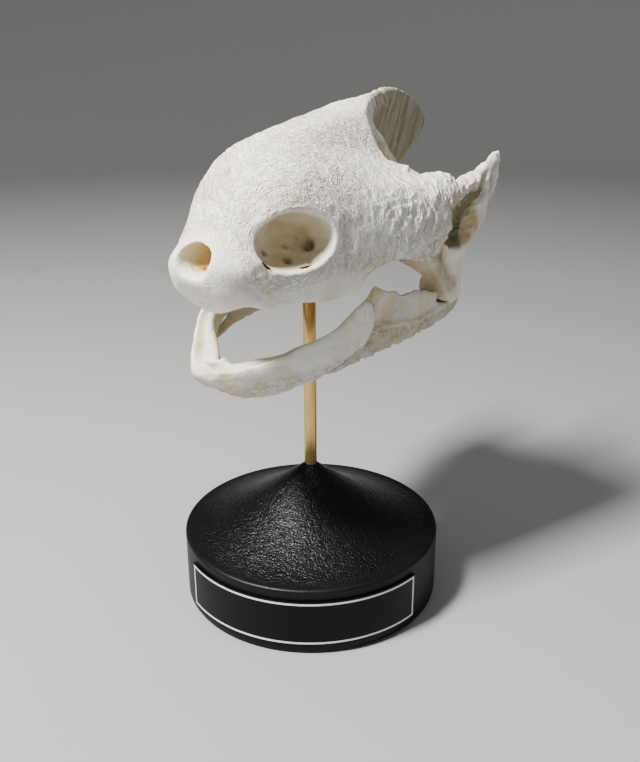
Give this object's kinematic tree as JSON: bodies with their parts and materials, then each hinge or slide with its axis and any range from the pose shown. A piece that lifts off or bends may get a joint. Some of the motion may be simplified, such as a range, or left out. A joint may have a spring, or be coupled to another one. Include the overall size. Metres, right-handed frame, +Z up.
{
  "type": "snapping turtle skull on a rod and base",
  "caption": "Snapping turtle skull with its lower jaw, held on a brass rod that stands in a black turned wooden base.",
  "frame": {"origin": "centre of the flat underside of the round base, on the surface it stands on", "axes": "+Z up along the rod, -Y towards the front where the bare label is, +X to the right of a viewer who faces the label"},
  "size_m": [0.1193, 0.1281, 0.1857],
  "materials": {
    "skull_bone": "dry cream bone, rough on the roof and cheeks, smooth on the beak",
    "toothbone": "dry cream bone, smooth",
    "hindjaw_left_bone": "dry cream bone, striated, tan in its hollows",
    "hindjaw_right_bone": "dry cream bone, striated, tan in its hollows",
    "black_base": "turned wood in satin black, finely stippled on the cone",
    "brass_rod": "satin brass",
    "label_plate": "satin black, bare"
  },
  "bodies": {
    "root": {"cranium": "skull_bone", "dentary": "toothbone", "hindjaw_left": "hindjaw_left_bone", "hindjaw_right": "hindjaw_right_bone", "stand_base": "black_base", "stand_rod": "brass_rod", "stand_label": "label_plate"}
  },
  "joints": []
}
